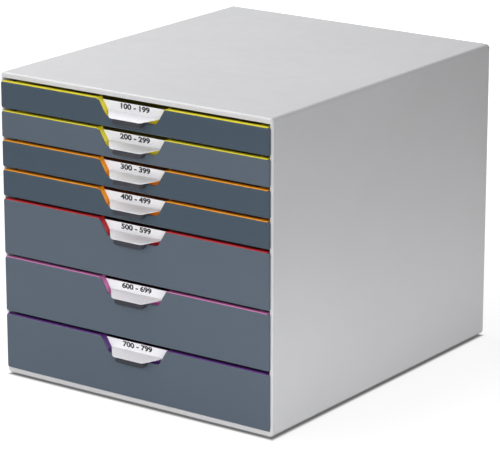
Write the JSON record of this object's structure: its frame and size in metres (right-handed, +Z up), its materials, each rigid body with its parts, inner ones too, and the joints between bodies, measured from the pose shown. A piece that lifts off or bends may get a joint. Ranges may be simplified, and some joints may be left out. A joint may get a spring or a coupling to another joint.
{
  "type": "desk drawer unit",
  "caption": "Light grey desktop casing with a stack of sliding trays, dark fronts, coloured rims and a labelled pull in the middle of each front.",
  "frame": {"origin": "on the floor, under the middle of the whole unit", "axes": "+X to the right of someone facing the fronts, +Y to the back, +Z up; drawers come out along -Y"},
  "size_m": [0.292, 0.356, 0.28],
  "materials": {
    "casing": "fine-grained light grey moulded plastic",
    "runners": "dark grey moulded plastic",
    "feet": "black rubber",
    "fronts": "fine-grained slate grey moulded plastic",
    "tray_yellow": "satin yellow moulded plastic",
    "tray_orange": "satin orange moulded plastic",
    "tray_red": "satin red moulded plastic",
    "tray_pink": "satin pink moulded plastic",
    "tray_purple": "satin purple moulded plastic",
    "label_holder": "clear moulded plastic",
    "label": "white paper card"
  },
  "bodies": {
    "cabinet": {"casing": "casing", "back_panel": "casing", "left_runner": "runners", "right_runner": "runners", "foot_front_left": "feet", "foot_front_right": "feet", "foot_rear_left": "feet", "foot_rear_right": "feet"},
    "drawer_1": {"drawer_1_tray": "tray_yellow", "drawer_1_front": "fronts", "drawer_1_label_holder": "label_holder", "drawer_1_label": "label"},
    "drawer_2": {"drawer_2_tray": "tray_yellow", "drawer_2_front": "fronts", "drawer_2_label_holder": "label_holder", "drawer_2_label": "label"},
    "drawer_3": {"drawer_3_tray": "tray_orange", "drawer_3_front": "fronts", "drawer_3_label_holder": "label_holder", "drawer_3_label": "label"},
    "drawer_4": {"drawer_4_tray": "tray_orange", "drawer_4_front": "fronts", "drawer_4_label_holder": "label_holder", "drawer_4_label": "label"},
    "drawer_5": {"drawer_5_tray": "tray_red", "drawer_5_front": "fronts", "drawer_5_label_holder": "label_holder", "drawer_5_label": "label"},
    "drawer_6": {"drawer_6_tray": "tray_pink", "drawer_6_front": "fronts", "drawer_6_label_holder": "label_holder", "drawer_6_label": "label"},
    "drawer_7": {"drawer_7_tray": "tray_purple", "drawer_7_front": "fronts", "drawer_7_label_holder": "label_holder", "drawer_7_label": "label"}
  },
  "joints": [
    {"name": "drawer_1_slide", "type": "slide", "parent": "cabinet", "child": "drawer_1", "axis": [0, -1, 0], "range_m": [0, 0.25]},
    {"name": "drawer_2_slide", "type": "slide", "parent": "cabinet", "child": "drawer_2", "axis": [0, -1, 0], "range_m": [0, 0.25]},
    {"name": "drawer_3_slide", "type": "slide", "parent": "cabinet", "child": "drawer_3", "axis": [0, -1, 0], "range_m": [0, 0.25]},
    {"name": "drawer_4_slide", "type": "slide", "parent": "cabinet", "child": "drawer_4", "axis": [0, -1, 0], "range_m": [0, 0.25]},
    {"name": "drawer_5_slide", "type": "slide", "parent": "cabinet", "child": "drawer_5", "axis": [0, -1, 0], "range_m": [0, 0.25]},
    {"name": "drawer_6_slide", "type": "slide", "parent": "cabinet", "child": "drawer_6", "axis": [0, -1, 0], "range_m": [0, 0.25]},
    {"name": "drawer_7_slide", "type": "slide", "parent": "cabinet", "child": "drawer_7", "axis": [0, -1, 0], "range_m": [0, 0.25]}
  ]
}
